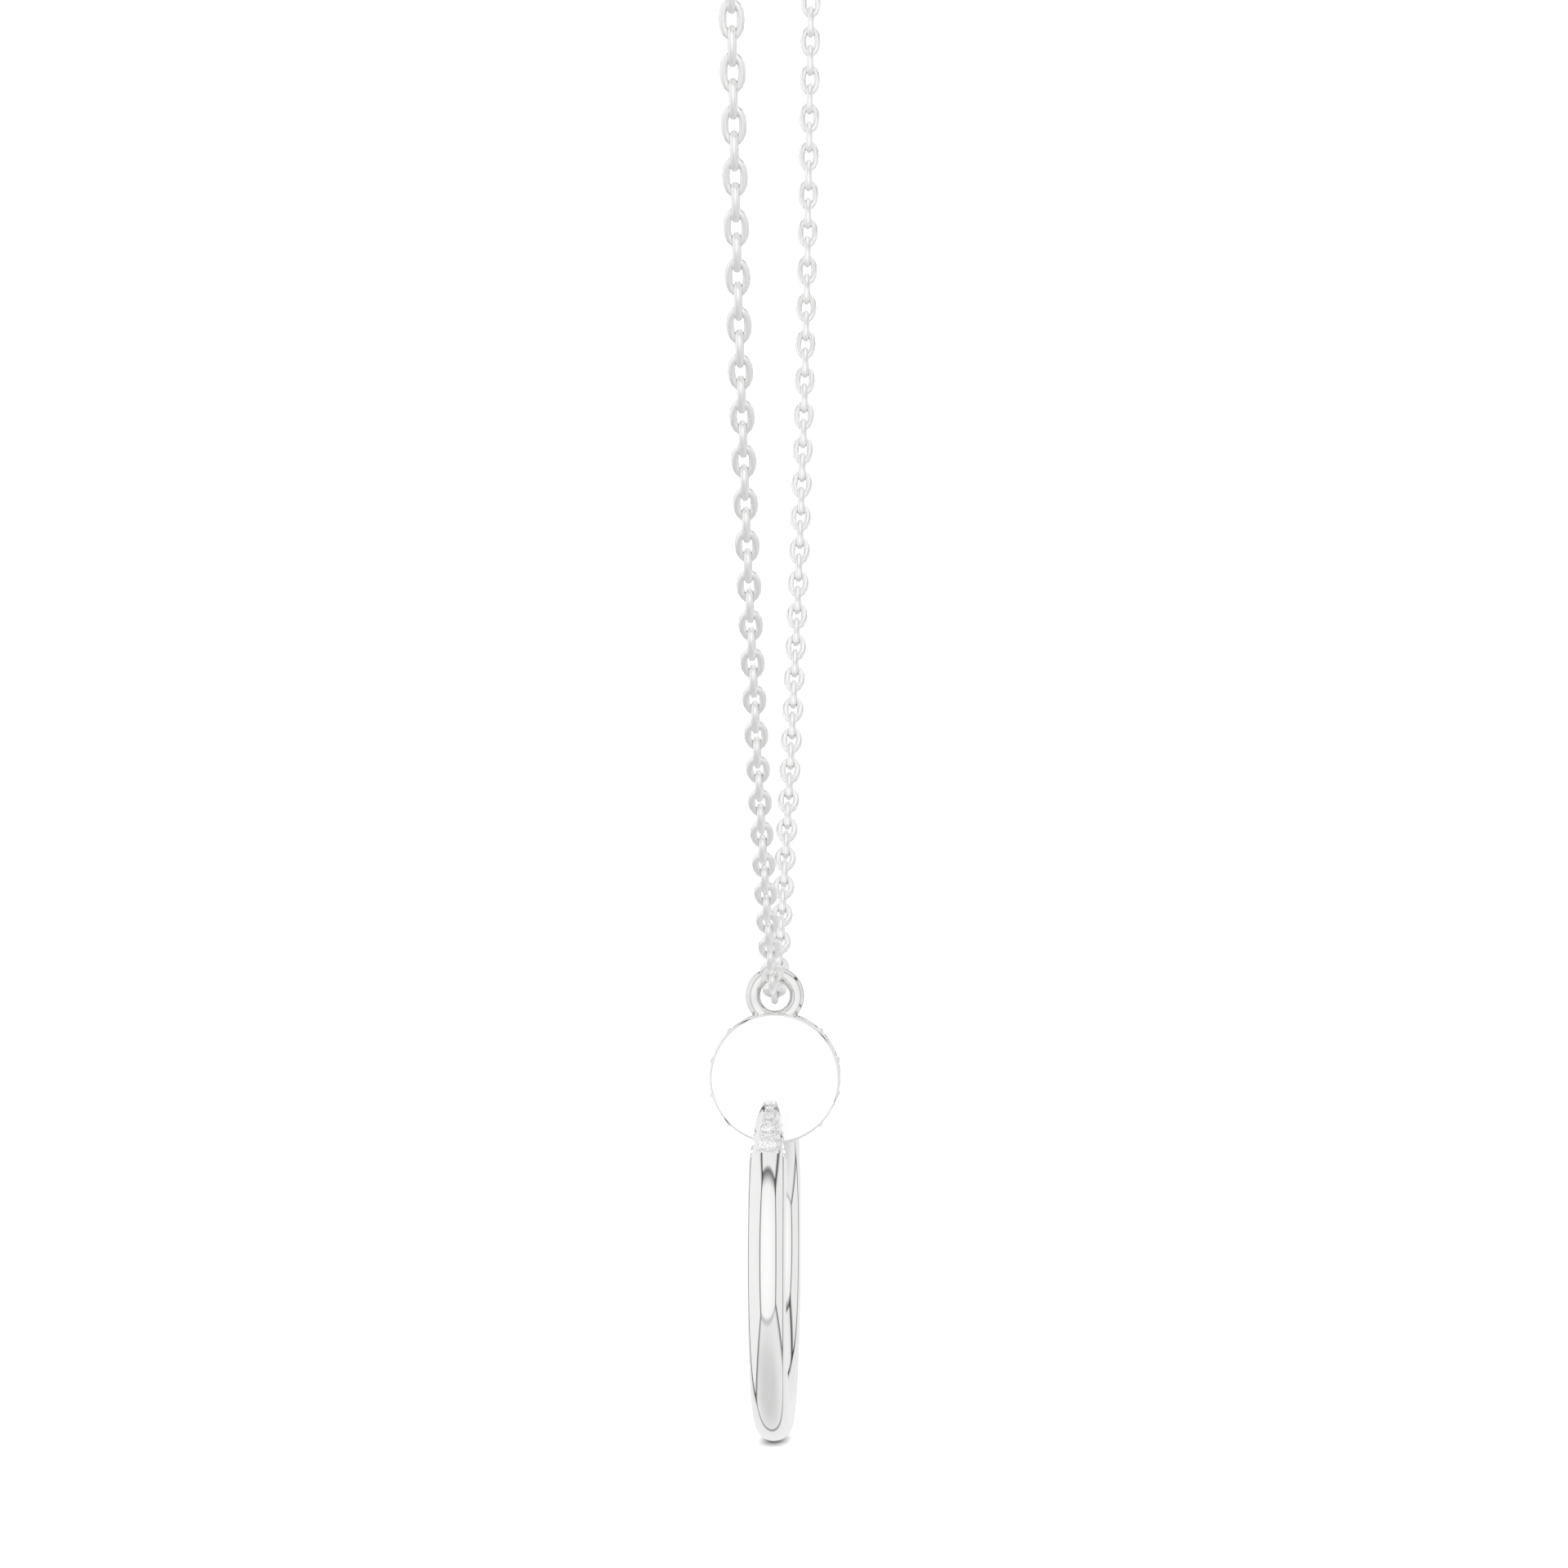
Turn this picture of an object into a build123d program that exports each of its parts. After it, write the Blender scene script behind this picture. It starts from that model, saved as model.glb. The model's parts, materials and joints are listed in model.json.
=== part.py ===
from build123d import *
import os
from math import asin, cos, degrees, hypot, radians, sin, sqrt, tan

# A round nail bent into a ring, hung by a soldered ring on an oval cable chain.
# The loop of the chain and the ring of the nail lie in the XZ plane, +X is the
# side where the nail's point and the face of its head are, and the origin is
# the underside of the clasp at the top, where the necklace hangs.

# Shank of the nail
wire_diameter = 2.07
loop_radius = 9.45

# Head of the nail, turned about the ring's centre from straight up
head_angle = 3.5
head_diameter = 7.2
head_thickness = 1.9
head_edge_round = 0.16

# Point of the nail: angle of its end from straight up, length along the wire,
# half widths, and how deep its faces are filed into the wire at the root
point_end_angle = 27.8
point_length = 4.62
point_end_half_width = 0.27
point_middle_half_width = 0.65
point_root_filed = 0.115

# Sunk panel that holds the stones on a side of the point, between these shares
# of the point's length
panel_start = 0.10
panel_end = 0.985
panel_border = 0.12
panel_depth = 0.09
panel_corner_share = 0.6
panel_overrun = 0.15

# Soldered ring on the head's rim
ring_wire = 0.84
ring_hole = 1.59
ring_sunk = 0.74

# Cut stones, as shares of a stone's own diameter
stone_sides = 16
table_share = 0.56
crown_share = 0.16
girdle_share = 0.03
pavilion_share = 0.43
culet_share = 0.03
stone_clearance = 0.03

# Stones round the rim: even places, the first of which the soldered ring takes
rim_places = 12
rim_stone_diameter = 1.35
rim_table_lift = 0.01

# Rows of stones on the point: place from the end as a share of the point's
# length, and diameter
point_stones = [
    (0.25, 0.50),
    (0.41, 0.68),
    (0.62, 0.85),
    (0.86, 1.00),
]

# Beads that hold the stones, each rooted in the metal. Those on the point stand
# in each gap, in the corners below the last stone and before the first one
rim_bead_diameter = 0.30
rim_bead_spread = 0.86
rim_bead_height = 0.10
point_bead_share = 0.30
point_bead_spread = 0.80
point_bead_height = 0.17
last_bead_along = 1.05
last_bead_spread = 0.96
first_bead_before = 0.75
bead_root = 0.25

# Chain, drawn as the tube that its links fill
link_width = 1.30
arc_share = 0.45

# Clasp
clasp_diameter = 2.4
clasp_length = 9.2
clasp_end_round = 0.5
clasp_eye_wire = 0.42
clasp_eye_hole = 0.80
chain_end_clearance = 0.1

# Route of one strand, x and z in mm from the corner under the soldered ring,
# chosen from the photo up to its edge and then the plain way round a neck
chain_route = [
    (4.6, 2.4),
    (12.6, 8.15),
    (20.9, 15.4),
    (30.0, 25.1),
    (38.9, 37.7),
    (45.0, 53.6),
    (50.0, 73.0),
    (53.5, 93.0),
    (55.5, 113.0),
    (56.0, 133.0),
    (51.0, 150.0),
    (41.5, 165.0),
    (28.5, 175.7),
    (13.5, 180.6),
]

wire_radius = wire_diameter / 2
head_radius = head_diameter / 2
ring_radius = (ring_hole + ring_wire) / 2
ring_reach = head_radius + ring_radius + ring_wire / 2 - ring_sunk
point_root_half_width = wire_radius - point_root_filed
point_arc = degrees(point_length / loop_radius)
point_root_angle = point_end_angle + point_arc
loop_axis = Axis((0, 0, 0), (0, 1, 0))
side = Vector(0, 1, 0)


def outward(angle):
    """Direction from the ring's centre at an angle from straight up towards +X."""
    return Vector(sin(radians(angle)), 0, cos(radians(angle)))


def forward(angle):
    """Direction along the wire at an angle, the way in which the angle grows."""
    return Vector(cos(radians(angle)), 0, -sin(radians(angle)))


def point_angle(share):
    """Angle from straight up at a share of the point's length from its end."""
    return point_end_angle + share * point_arc


def half_width(share):
    """Half width of the point at a share of its length from the end."""
    end, middle, root = point_end_half_width, point_middle_half_width, point_root_half_width
    bulge = 4 * (middle - (end + root) / 2)
    return end + (root - end) * share + bulge * share * (1 - share)


def taper_angle(share):
    """Slope of a face of the point, in degrees, from the wire's direction."""
    end, middle, root = point_end_half_width, point_middle_half_width, point_root_half_width
    bulge = 4 * (middle - (end + root) / 2)
    rise = root - end + bulge * (1 - 2 * share)
    return degrees(asin(rise / hypot(rise, point_length)))


def face_plane(share, toward, depth):
    """Plane sunk a depth below a side of the point, its normal out of the metal."""
    angle = point_angle(share)
    normal_base = {"top": outward(angle), "left": side, "right": -side}[toward]
    tilt = radians(taper_angle(share))
    along = forward(angle) * cos(tilt) + normal_base * sin(tilt)
    normal = normal_base * cos(tilt) - forward(angle) * sin(tilt)
    surface = outward(angle) * loop_radius + normal_base * half_width(share)
    return Plane(origin=surface - normal * depth, x_dir=along, z_dir=normal)


def rim_plane(turn, radius):
    """Plane on the head's rim at a turn from its top, its normal out of the metal."""
    normal = outward(head_angle) * cos(radians(turn)) + side * sin(radians(turn))
    return Plane(origin=head_centre + normal * radius, x_dir=forward(head_angle), z_dir=normal)


def shank():
    start = Plane(origin=outward(point_root_angle) * loop_radius, z_dir=forward(point_root_angle))
    inside_head = degrees(head_thickness / 2 / loop_radius)
    arc = 360 + head_angle - inside_head - point_root_angle
    return revolve(start * Circle(wire_radius), axis=loop_axis, revolution_arc=arc)


def side_view(shares, outer, inner):
    """Solid across the point, between two curves given by their radii at three shares."""
    ways = [outward(point_angle(share)) for share in shares]
    out = [way * radius for way, radius in zip(ways, outer)]
    back = [way * radius for way, radius in zip(ways, inner)]
    face = Face(Wire([
        ThreePointArc(*out),
        Line(out[2], back[2]),
        ThreePointArc(*back),
        Line(back[0], out[0]),
    ]))
    return extrude(face, amount=wire_diameter, dir=(0, 1, 0), both=True)


def plan_view(shares, left, right, corner=0):
    """Solid through the point, between two curves given by their widths at three shares."""
    places = [(share - 0.5) * point_length for share in shares]
    one = ThreePointArc(*zip(places, left))
    other = ThreePointArc(*zip(places, right))
    face = Face(Wire([one, Line(one @ 1, other @ 1), other, Line(other @ 0, one @ 0)]))
    if corner:
        face = fillet(face.vertices().sort_by(Axis.X)[-2:], corner)
    out = outward(point_angle(0.5))
    above = Plane(origin=out * loop_radius, x_dir=forward(point_angle(0.5)), z_dir=out)
    return extrude(above * face, amount=wire_diameter, both=True)


def point():
    """Round wire cut by four faces that close in on the nail's end."""
    start = Plane(origin=outward(point_end_angle) * loop_radius, z_dir=forward(point_end_angle))
    wire = revolve(start * Circle(wire_radius), axis=loop_axis, revolution_arc=point_arc)
    shares = (0, 0.5, 1)
    widths = [half_width(share) for share in shares]
    rise = [loop_radius + w for w in widths]
    fall = [loop_radius - w for w in widths]
    return wire & side_view(shares, rise, fall) & plan_view(shares, widths, [-w for w in widths])


def panels():
    """Sunk panels on the outer side and both flanks of the point."""
    middle = (panel_start + panel_end) / 2
    shares = (panel_start, middle, panel_end)
    longer = (panel_start - panel_overrun, middle, panel_end + panel_overrun)
    inset = [half_width(share) - panel_border for share in shares]
    floor = [half_width(share) - panel_depth for share in longer]
    beyond = [w + wire_diameter for w in floor]
    outline = plan_view(shares, inset, [-w for w in inset], panel_corner_share * inset[2])
    under = side_view(longer, [loop_radius + w for w in floor], [loop_radius - w for w in beyond])
    top = outline - under
    flank = side_view(shares, [loop_radius + w for w in inset], [loop_radius - w for w in inset])
    left = flank - plan_view(longer, floor, [-w for w in beyond])
    return [top, left, mirror(left, about=Plane.XZ)]


def head():
    back = Plane(origin=head_centre - forward(head_angle) * head_thickness / 2, z_dir=forward(head_angle))
    disc = extrude(back * Circle(head_radius), amount=head_thickness)
    rims = disc.edges().filter_by(GeomType.CIRCLE)
    return fillet(rims, head_edge_round)


def soldered_ring():
    foot = ring_centre - outward(head_angle) * ring_radius
    section = Plane(origin=foot, x_dir=outward(head_angle), z_dir=side) * Circle(ring_wire / 2)
    return revolve(section, axis=Axis(ring_centre, forward(head_angle)))


def bead(radius, height):
    """Post with a domed top, standing on z = 0 and rooted below it."""
    shoulder = height - radius
    profile = Face(Wire([
        Line((0, 0, -bead_root), (radius, 0, -bead_root)),
        Line((radius, 0, -bead_root), (radius, 0, shoulder)),
        ThreePointArc(
            (radius, 0, shoulder),
            (radius * sqrt(0.5), 0, shoulder + radius * sqrt(0.5)),
            (0, 0, height),
        ),
        Line((0, 0, height), (0, 0, -bead_root)),
    ]))
    return revolve(profile, axis=Axis.Z)


def stone(diameter):
    """Round cut stone with its girdle on z = 0: table, crown, girdle and pavilion."""
    def ring(width, z):
        return Plane.XY.offset(z) * RegularPolygon(width / 2, stone_sides)
    half_girdle = girdle_share * diameter / 2
    crown = crown_share * diameter
    pavilion = pavilion_share * diameter
    return loft([
        ring(diameter * culet_share, -half_girdle - pavilion),
        ring(diameter, -half_girdle),
        ring(diameter, half_girdle),
        ring(diameter * table_share, half_girdle + crown),
    ], ruled=True)


def seat(diameter):
    """Room for a stone with a small clearance, open above it."""
    half_girdle = girdle_share * diameter / 2
    pavilion = pavilion_share * diameter
    crown = crown_share * diameter
    opening = diameter / 2 + stone_clearance
    deeper = stone_clearance * pavilion / (diameter / 2)
    bottom = -half_girdle - pavilion - deeper
    top = half_girdle + crown + stone_clearance
    outline = Polyline(
        (0, 0, bottom),
        (diameter * culet_share / 2, 0, bottom),
        (opening, 0, -half_girdle),
        (opening, 0, top),
        (0, 0, top),
        close=True,
    )
    return revolve(Face(Wire(outline.edges())), axis=Axis.Z)


def tube_path(points):
    """Straight runs joined by the largest even arcs, and the radii of the arcs."""
    radii = []
    for before, at, after in zip(points, points[1:], points[2:]):
        turn = (at - before).get_angle(after - at)
        run = min((at - before).length, (after - at).length)
        radii.append(arc_share * run / tan(radians(turn / 2)))
    return FilletPolyline(*points, radius=radii), radii


# Places that follow from the sizes
head_centre = outward(head_angle) * loop_radius - forward(head_angle) * head_thickness / 2
ring_centre = head_centre + outward(head_angle) * ring_reach

first_x, first_z = chain_route[0]
half_turn = radians(90) - radians(Vector(first_x, first_z).get_angle(Vector(0, 1)))
corner_radius = arc_share * hypot(first_x, first_z) / tan(half_turn)
corner_drop = corner_radius * (1 / cos(half_turn) - 1)
route_top = chain_route[-1][1]
chain_level = clasp_diameter / 2
corner_z = chain_level - route_top
hang_z = corner_z + corner_drop
charm_place = Pos(-ring_centre.X, 0, hang_z - ring_centre.Z)

# Stones and their seats, as plane, diameter and node name
stones = []
rim_girdle = head_radius + rim_table_lift - (crown_share + girdle_share / 2) * rim_stone_diameter
for place in range(1, rim_places):
    plane = rim_plane(360 / rim_places * place, rim_girdle)
    stones.append((plane, rim_stone_diameter, f"rim_stone_{place:02d}"))
for toward in ("top", "left", "right"):
    for number, (share, diameter) in enumerate(point_stones, start=1):
        plane = face_plane(share, toward, panel_depth)
        stones.append((plane, diameter, f"point_stone_{toward}_{number}"))

# Beads between the rim stones, a pair in each gap that the soldered ring leaves free
beads = []
bead_offset = (head_thickness * rim_bead_spread - rim_bead_diameter) / 2
for place in range(1, rim_places - 1):
    plane = rim_plane(360 / rim_places * (place + 0.5), head_radius)
    for offset in (-bead_offset, bead_offset):
        beads.append(plane * Pos(offset, 0, 0) * bead(rim_bead_diameter / 2, rim_bead_height))

# Beads on the point: one before the row, a pair in each gap and a pair by the last stone
for toward in ("top", "left", "right"):
    for number, (share, diameter) in enumerate(point_stones):
        reach = diameter / 2 / point_length
        radius = point_bead_share * diameter / 2
        middle = share + reach * last_bead_along
        spread = last_bead_spread * diameter / 2
        if number + 1 < len(point_stones):
            next_share, next_diameter = point_stones[number + 1]
            middle = (share + reach + next_share - next_diameter / 2 / point_length) / 2
            spread = point_bead_spread * diameter / 2
        for offset in (-spread, spread):
            place = face_plane(middle, toward, panel_depth) * Pos(0, offset, 0)
            beads.append(place * bead(radius, point_bead_height))
    first_share, first_diameter = point_stones[0]
    before = first_share - first_diameter * first_bead_before / point_length
    radius = point_bead_share * first_diameter / 2
    beads.append(face_plane(before, toward, panel_depth) * bead(radius, point_bead_height))

nail = shank() + point() + head() + soldered_ring()
for panel in panels():
    nail -= panel
for plane, diameter, name in stones:
    nail -= plane * seat(diameter)
nail += beads
print("nail solids", len(nail.solids()), "valid", nail.is_valid, "volume", round(nail.volume, 2))

# Chain: one tube round the whole loop, parted inside the soldered ring
clasp_end = clasp_length / 2 + chain_end_clearance
strand = [Vector(x, 0, corner_z + z) for x, z in chain_route]
strand.append(Vector(clasp_end, 0, chain_level))
other = [Vector(-p.X, 0, p.Z) for p in strand]
route = other[::-1] + [Vector(0, 0, corner_z)] + strand
path, radii = tube_path(route)
start = Plane(origin=path @ 0, z_dir=path % 0)
tube = sweep(start * Circle(link_width / 2), path=path)
halves = split(tube, bisect_by=Plane.YZ, keep=Keep.BOTH).solids().sort_by(Axis.X)
expected = Circle(link_width / 2).area * path.length
print("bend radii of the chain", [round(r, 1) for r in radii])
print("chain length", round(path.length, 1))
print("chain volume", round(tube.volume, 2), "expected", round(expected, 2))

# Clasp: a plain barrel with an eye at each end
eye_radius = (clasp_eye_hole + clasp_eye_wire) / 2
barrel_length = clasp_length - 4 * eye_radius
barrel = Plane(origin=(-barrel_length / 2, 0, chain_level), z_dir=(1, 0, 0)) * extrude(
    Circle(clasp_diameter / 2), amount=barrel_length
)
barrel = fillet(barrel.edges().filter_by(GeomType.CIRCLE), clasp_end_round)
eye = Plane.XZ * Torus(eye_radius, clasp_eye_wire / 2)
eye_x = clasp_length / 2 - eye_radius - clasp_eye_wire / 2
clasp = barrel + [Pos(x, 0, chain_level) * eye for x in (-eye_x, eye_x)]

os.makedirs("parts", exist_ok=True)
export_step(charm_place * nail, "parts/nail.step")
for plane, diameter, name in stones:
    export_step(charm_place * (plane * stone(diameter)), f"parts/{name}.step")
export_step(halves[0], "parts/chain_back.step")
export_step(halves[1], "parts/chain_front.step")
export_step(clasp, "parts/clasp.step")
print("ring centre of the nail", [round(v, 4) for v in (-ring_centre.X, hang_z - ring_centre.Z)])
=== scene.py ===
import json
import math

import bpy
from mathutils import Matrix, Vector


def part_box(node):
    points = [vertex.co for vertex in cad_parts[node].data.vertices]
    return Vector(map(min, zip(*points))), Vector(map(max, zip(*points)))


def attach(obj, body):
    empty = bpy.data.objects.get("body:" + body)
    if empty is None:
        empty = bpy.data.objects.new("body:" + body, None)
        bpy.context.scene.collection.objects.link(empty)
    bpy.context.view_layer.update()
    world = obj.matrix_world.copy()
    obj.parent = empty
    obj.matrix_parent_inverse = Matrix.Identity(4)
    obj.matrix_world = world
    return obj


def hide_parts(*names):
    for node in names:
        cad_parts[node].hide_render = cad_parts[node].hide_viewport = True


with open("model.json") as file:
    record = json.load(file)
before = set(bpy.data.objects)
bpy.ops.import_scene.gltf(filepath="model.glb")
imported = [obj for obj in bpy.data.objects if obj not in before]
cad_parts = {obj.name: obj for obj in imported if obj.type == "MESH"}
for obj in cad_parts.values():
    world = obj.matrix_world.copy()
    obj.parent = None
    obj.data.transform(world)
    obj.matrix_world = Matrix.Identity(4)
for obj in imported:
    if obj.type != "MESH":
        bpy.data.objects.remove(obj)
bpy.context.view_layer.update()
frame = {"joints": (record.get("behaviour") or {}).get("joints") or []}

# A round nail of polished white metal, bent into a ring and hung by a soldered
# ring on an oval cable chain. Every size is in metres.
MM = 0.001

# Shank of the nail
wire_radius = 1.035 * MM
loop_radius = 9.45 * MM
wire_sides = 64
shank_steps = 200
point_steps = 32

# Head of the nail
head_angle = math.radians(3.5)
head_radius = 3.6 * MM
head_thickness = 1.9 * MM
head_edge_round = 0.16 * MM
head_sides = 144
head_edge_angle = 60
head_edge_steps = 4
nail_smooth_angle = 25

# Point of the nail, filed to four sides from this angle from straight up
point_end_angle = math.radians(27.8)
point_length = 4.62 * MM
point_end_half_width = 0.27 * MM
point_middle_half_width = 0.65 * MM
point_root_half_width = 0.92 * MM
point_root_step = 0.004
point_edge_round = 0.03 * MM
point_edge_angle = 35
point_edge_steps = 2
slope_step = 0.01
point_rolls = {"top": 0.0, "left": math.radians(90), "right": math.radians(-90)}

# Sunk panel that holds the stones on a side of the point, between these shares
# of the point's length
panel_start = 0.10
panel_end = 0.985
panel_border = 0.12 * MM
panel_depth = 0.09 * MM
panel_corner_share = 0.6
panel_steps = 40
panel_step_crowding = 1.6

# Soldered ring on the head's rim
ring_wire_radius = 0.42 * MM
ring_hole_radius = 0.795 * MM
ring_sunk = 0.74 * MM
ring_sides = 72
ring_wire_sides = 28

# Cut stones, as shares of a stone's own diameter
table_share = 0.56
crown_share = 0.16
girdle_share = 0.03
pavilion_share = 0.43
culet_share = 0.03
star_share = 0.62
upper_half_share = 1.14
lower_half_share = 1.04
half_facet_height = 0.8
stone_sides = 32
stone_clearance = 0.008 * MM

# Stones round the rim: even places, the first of which the soldered ring takes
rim_places = 12
rim_stone_diameter = 1.35 * MM
rim_table_lift = 0.01 * MM

# Stones on the point: place from the end as a share of its length, and diameter
point_stones = [
    (0.25, 0.50 * MM),
    (0.41, 0.68 * MM),
    (0.62, 0.85 * MM),
    (0.86, 1.00 * MM),
]

# Beads that hold the stones
rim_bead_radius = 0.15 * MM
rim_bead_spread = 0.86
rim_bead_height = 0.10 * MM
point_bead_share = 0.30
point_bead_spread = 0.80
point_bead_height = 0.17 * MM
last_bead_along = 1.05
last_bead_spread = 0.96
first_bead_before = 0.75
bead_root = 0.25 * MM
bead_sides = 16
bead_rings = 8

# The face of the head is satin out to its rounded rim, and the ring takes a darker copy of the
# metal: painted shade for the darker reflections on the ring
satin_depth = 0.004 * MM
ring_painted_shade_reach = 0.43 * MM
head_clearance = 1.005

# Chain: oval links, each turned a quarter against the next
link_length = 2.13 * MM
link_width = 1.30 * MM
link_wire_radius = 0.205 * MM
links_each_side = 175
link_roundness = 0.75
link_sides = 16
link_wire_sides = 8
heading_reach = 8
lowest_link_lift = 0.157 * MM

# Clasp
clasp_level = 1.2 * MM
clasp_radius = 1.2 * MM
clasp_length = 9.2 * MM
clasp_end_round = 0.5 * MM
clasp_eye_wire_radius = 0.21 * MM
clasp_eye_hole_radius = 0.40 * MM
clasp_sides = 64
clasp_end_steps = 6
clasp_smooth_angle = 35
seam_width = 0.16 * MM
seam_depth = 0.05 * MM

# Route of one strand, x and z from the corner under the soldered ring
chain_route = [
    (4.6, 2.4),
    (12.6, 8.15),
    (20.9, 15.4),
    (30.0, 25.1),
    (38.9, 37.7),
    (45.0, 53.6),
    (50.0, 73.0),
    (53.5, 93.0),
    (55.5, 113.0),
    (56.0, 133.0),
    (51.0, 150.0),
    (41.5, 165.0),
    (28.5, 175.7),
    (13.5, 180.6),
]

# Camera: the photo is 1920 px wide and was fitted at 0.045 mm a pixel
camera_azimuth = math.radians(92.67)
camera_distance = 333.1 * MM
camera_height = -167.16 * MM
camera_aside = 0.498 * MM
camera_lens = 138.8
back = Vector((math.sin(camera_azimuth), -math.cos(camera_azimuth), 0))
right = Vector((math.cos(camera_azimuth), math.sin(camera_azimuth), 0))

# Studio: each wall of the room that the metal reflects has a direction, a
# distance, a brightness at its middle and at its edge, and the width and depth
# of the shade that it throws on the walls beside it
room_walls = [
    ("front wall", back, 1.0, 1.02, 0.92, 0.16, 0.45),
    ("back wall", -back, 0.845, 0.88, 0.84, 0.14, 1.0),
    ("right wall", right, 1.7, 0.86, 0.84, 0.26, 1.25),
    ("left wall", -right, 0.85, 0.92, 0.90, 0.26, 1.25),
    ("ceiling", Vector((0, 0, 1)), 1.31, 0.90, 0.84, 0.34, 1.1),
    ("ground", Vector((0, 0, -1)), 0.83, 0.66, 0.84, 0.12, 0.25),
]
wall_tone_from = 0.6
darkest_corner = 0.92
plain_light = 2.2
floor_bounce = 0.02
floor_gap = 0.01 * MM
floor_size = 4.0

# Modelling tolerances: where a cut counts as on a vertex, and a little past a size
cut_threshold = 1e-8
just_past = 1.01

# Places that follow from the sizes
hang_point = Vector(frame["joints"][0]["pos_m"])
ring_radius = ring_hole_radius + ring_wire_radius
ring_reach = head_radius + ring_radius + ring_wire_radius - ring_sunk
head_frame_local = Matrix.Rotation(head_angle, 4, "Y")
ring_centre_local = head_frame_local @ Vector((-head_thickness / 2, 0, loop_radius + ring_reach))
charm_frame = Matrix.Translation(hang_point - ring_centre_local)
head_frame = charm_frame @ head_frame_local
loop_centre = charm_frame.translation.copy()
head_centre = head_frame @ Vector((-head_thickness / 2, 0, loop_radius))
head_turn = (head_frame @ Matrix.Rotation(math.radians(90), 4, "Y")).to_euler()
ring_spot = Vector((-head_thickness / 2, 0, loop_radius + ring_reach))
point_arc = point_length / loop_radius


# Bench helpers

def clear_selection():
    """Leave edit mode and select nothing."""
    if bpy.context.object and bpy.context.object.mode != "OBJECT":
        bpy.ops.object.mode_set(mode="OBJECT")
    bpy.ops.object.select_all(action="DESELECT")


def take_up(*pieces):
    """Select these pieces, the first of them active."""
    clear_selection()
    for piece in pieces:
        piece.select_set(True)
    bpy.context.view_layer.objects.active = pieces[0]
    return pieces[0]


def named(name):
    """Name the piece that was just added."""
    piece = bpy.context.object
    piece.name = piece.data.name = name
    return piece


def choose_verts(piece, wanted):
    """Select the vertices of a piece that pass a test, and open it for editing."""
    take_up(piece)
    bpy.ops.object.mode_set(mode="EDIT")
    bpy.ops.mesh.select_all(action="DESELECT")
    bpy.ops.mesh.select_mode(type="VERT")
    bpy.ops.object.mode_set(mode="OBJECT")
    for vert in piece.data.vertices:
        vert.select = wanted(vert.co)
    bpy.ops.object.mode_set(mode="EDIT")


def settle(piece, place=None):
    """Put a piece in its place and write that place into its mesh."""
    if place is not None:
        piece.matrix_world = place @ piece.matrix_world
    take_up(piece)
    bpy.ops.object.transform_apply(location=True, rotation=True, scale=True)
    return piece


def another(piece, name, place):
    """A copy of a piece with its own mesh, placed by a matrix."""
    copy = piece.copy()
    copy.data = piece.data.copy()
    copy.name = copy.data.name = name
    bpy.context.scene.collection.objects.link(copy)
    copy.matrix_world = place @ piece.matrix_world
    return copy


def weld(pieces):
    """Join pieces into the first of them."""
    take_up(*pieces)
    bpy.ops.object.join()
    return bpy.context.object


def discard(piece):
    """Remove a piece and its mesh."""
    mesh = piece.data
    bpy.data.objects.remove(piece)
    bpy.data.meshes.remove(mesh)


def in_fixed_order(piece):
    """Sort a piece's vertices and faces: a boolean leaves them in another order each run."""
    mesh = piece.data
    order = sorted(range(len(mesh.vertices)), key=lambda number: tuple(mesh.vertices[number].co))
    place = {number: rank for rank, number in enumerate(order)}
    spots = [mesh.vertices[number].co.copy() for number in order]
    faces = []
    for face in mesh.polygons:
        ring = [place[number] for number in face.vertices]
        first = ring.index(min(ring))
        faces.append(ring[first:] + ring[:first])
    mesh.clear_geometry()
    mesh.from_pydata(spots, [], sorted(faces))
    return piece


def cut_or_join(piece, tool, operation):
    """Boolean a piece with a tool, which is used up."""
    take_up(piece)
    modifier = piece.modifiers.new(operation.title(), "BOOLEAN")
    modifier.operation = operation
    modifier.solver = "EXACT"
    modifier.object = tool
    bpy.ops.object.modifier_apply(modifier=modifier.name)
    discard(tool)
    return in_fixed_order(piece)


def soften_edges(piece, sharper_than, width, segments, within=None):
    """Bevel the edges of a piece that are sharper than an angle, where both ends pass a test."""
    take_up(piece)
    bpy.ops.object.mode_set(mode="EDIT")
    bpy.ops.mesh.select_mode(type="EDGE")
    bpy.ops.mesh.select_all(action="DESELECT")
    bpy.ops.mesh.edges_select_sharp(sharpness=math.radians(sharper_than))
    if within:
        bpy.ops.object.mode_set(mode="OBJECT")
        for edge in piece.data.edges:
            ends = [piece.data.vertices[number].co for number in edge.vertices]
            edge.select = edge.select and within(ends[0]) and within(ends[1])
        bpy.ops.object.mode_set(mode="EDIT")
    bpy.ops.mesh.bevel(offset=width, segments=segments, affect="EDGES")
    bpy.ops.object.mode_set(mode="OBJECT")


def polish(piece, degrees):
    """Shade a piece smooth, with edges sharper than the angle left crisp."""
    take_up(piece)
    bpy.ops.object.shade_smooth_by_angle(angle=math.radians(degrees))
    return piece


def finish_faces(piece, material, wanted):
    """Give the faces of a piece whose centres pass a test their own finish, which on the ring also
    carries painted shade.
    """
    piece.data.materials.append(material)
    for face in piece.data.polygons:
        if wanted(face.center):
            face.material_index = len(piece.data.materials) - 1


def on_head_face(co):
    """Whether a place is on the flat face of the nail's head."""
    local = head_frame.inverted() @ co - Vector((0, 0, loop_radius))
    return abs(local.x) < satin_depth and math.hypot(local.y, local.z) < head_radius


def on_ring(co):
    """Whether a place is on the soldered ring."""
    local = head_frame.inverted() @ co - ring_spot
    across = math.hypot(math.hypot(local.y, local.z) - ring_radius, local.x)
    return across < ring_painted_shade_reach and (co - head_centre).length > head_radius * head_clearance


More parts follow.
